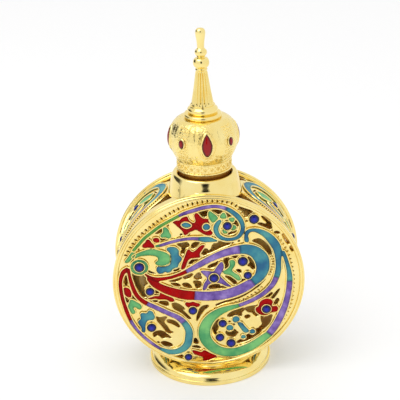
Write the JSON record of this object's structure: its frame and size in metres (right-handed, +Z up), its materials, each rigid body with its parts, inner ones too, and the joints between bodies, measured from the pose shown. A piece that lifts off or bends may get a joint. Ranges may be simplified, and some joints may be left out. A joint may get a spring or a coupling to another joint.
{
  "type": "essential oil bottle",
  "caption": "Round enamelled gilt oil bottle: a pierced drum case with paisley panels round a glass flask, on a round foot, under a domed screw cap with red stones, a beaded spire and a dip rod.",
  "frame": {"origin": "middle of the foot's underside, on the surface that the bottle stands on", "axes": "+Z up along the neck and spire, -Y out of the front panel, +X to the right as seen from the front"},
  "size_m": [0.062, 0.041, 0.1151],
  "materials": {
    "gilt_brass": "polished gold plate",
    "red_enamel": "glossy fired enamel",
    "violet_enamel": "glossy fired enamel",
    "blue_enamel": "glossy fired enamel",
    "green_enamel": "glossy fired enamel",
    "ruby_glass": "polished red stone",
    "clear_glass": "clear",
    "felt": "felt",
    "steel": "machined",
    "ivory_plastic": "moulded",
    "liner_foam": "matt foam"
  },
  "bodies": {
    "bottle": {"front_panel": "gilt_brass", "back_panel": "gilt_brass", "front_rim": "gilt_brass", "back_rim": "gilt_brass", "left_side_wall": "gilt_brass", "right_side_wall": "gilt_brass", "neck_collar": "gilt_brass", "neck_sleeve": "gilt_brass", "foot": "gilt_brass", "neck_gasket": "liner_foam", "glass_flask": "clear_glass", "flask_cushion": "liner_foam", "foot_pad": "felt", "foot_screw": "steel", "foot_nut": "steel", "front_paisley_red": "red_enamel", "front_paisley_violet_lower": "violet_enamel", "front_paisley_blue": "blue_enamel", "front_paisley_violet_upper": "violet_enamel", "front_crest_green": "green_enamel", "front_crest_violet": "violet_enamel", "front_crest_blue": "blue_enamel", "front_hook_blue": "blue_enamel", "front_hook_green": "green_enamel", "front_hook_violet": "violet_enamel", "front_corner_red": "red_enamel", "front_corner_blue": "blue_enamel", "back_paisley_red": "red_enamel", "back_paisley_violet_lower": "violet_enamel", "back_paisley_blue": "blue_enamel", "back_paisley_violet_upper": "violet_enamel", "back_crest_green": "green_enamel", "back_crest_violet": "violet_enamel", "back_crest_blue": "blue_enamel", "back_hook_blue": "blue_enamel", "back_hook_green": "green_enamel", "back_hook_violet": "violet_enamel", "back_corner_red": "red_enamel", "back_corner_blue": "blue_enamel"},
    "liner": {"sealing_liner": "liner_foam"},
    "applicator": {"applicator_rod": "clear_glass"},
    "cap": {"crown_band": "gilt_brass", "crown_dome": "gilt_brass", "large_stone_1": "ruby_glass", "large_stone_2": "ruby_glass", "large_stone_3": "ruby_glass", "large_stone_4": "ruby_glass", "small_stone_1": "ruby_glass", "small_stone_2": "ruby_glass", "small_stone_3": "ruby_glass", "small_stone_4": "ruby_glass", "lower_ring": "gilt_brass", "upper_ring": "gilt_brass", "spire_cone": "gilt_brass", "large_bead": "gilt_brass", "small_bead": "gilt_brass", "tip": "gilt_brass", "spire_stud": "steel", "threaded_insert": "ivory_plastic"}
  },
  "joints": [
    {"name": "lift_off", "type": "slide", "parent": "bottle", "child": "liner", "axis": [0, 0, 1], "range_m": [0, 0.075]},
    {"name": "thread_rise", "type": "slide", "parent": "liner", "child": "applicator", "axis": [0, 0, 1], "range_m": [0, 0.0036]},
    {"name": "unscrew", "type": "hinge", "parent": "applicator", "child": "cap", "pos_m": [0, 0, 0.0799], "axis": [0, 0, 1], "range_deg": [0, 540]}
  ],
  "couplings": [
    {"joint": "thread_rise", "follows": "unscrew", "m_per_rad": 0.00038197}
  ]
}
